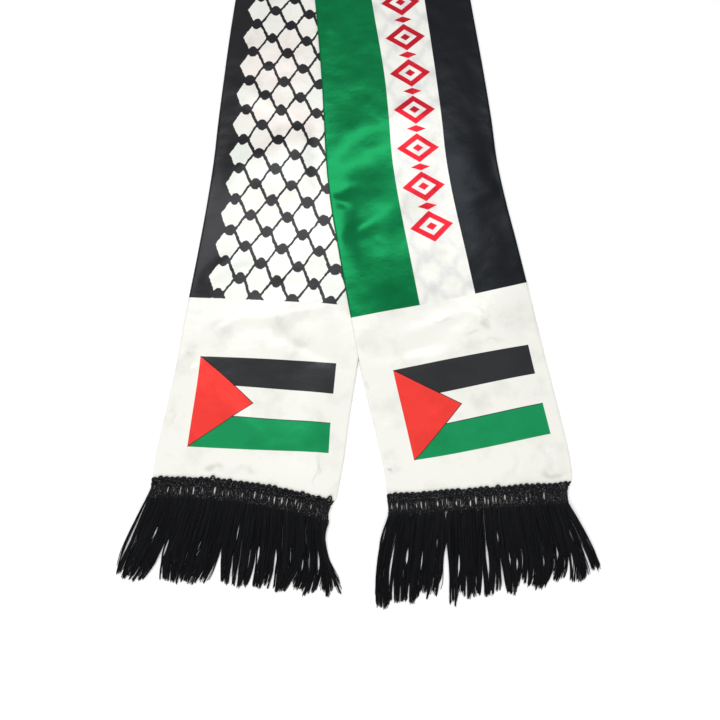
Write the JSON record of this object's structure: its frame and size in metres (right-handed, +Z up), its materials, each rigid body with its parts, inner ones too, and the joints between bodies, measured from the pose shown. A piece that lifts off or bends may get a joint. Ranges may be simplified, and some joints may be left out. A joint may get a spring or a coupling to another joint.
{
  "type": "flag scarf",
  "caption": "Satin supporter's scarf, printed with stripes on one face and a net pattern on the other, a flag near each fringed end, folded over once and laid flat in a narrow V.",
  "frame": {"origin": "middle of the scarf as it lies, on the surface under it", "axes": "+Z up from the surface, +Y from the fringes towards the fold, +X towards the striped stretch"},
  "size_m": [0.3446, 0.757, 0.0127],
  "materials": {
    "stripe_satin": "printed satin: green, white and black stripes along the scarf, white end panel with a flag",
    "net_satin": "printed satin: black net pattern on white, white end panel with a flag",
    "heading_yarn": "matt crocheted braid",
    "fringe_yarn": "matt loose yarn"
  },
  "bodies": {
    "root": {"left_stretch_stripe_face": "stripe_satin", "left_stretch_net_face": "net_satin", "right_stretch_net_face": "net_satin", "right_stretch_stripe_face": "stripe_satin", "left_heading": "heading_yarn", "right_heading": "heading_yarn", "left_fringe": "fringe_yarn", "right_fringe": "fringe_yarn"}
  },
  "joints": []
}
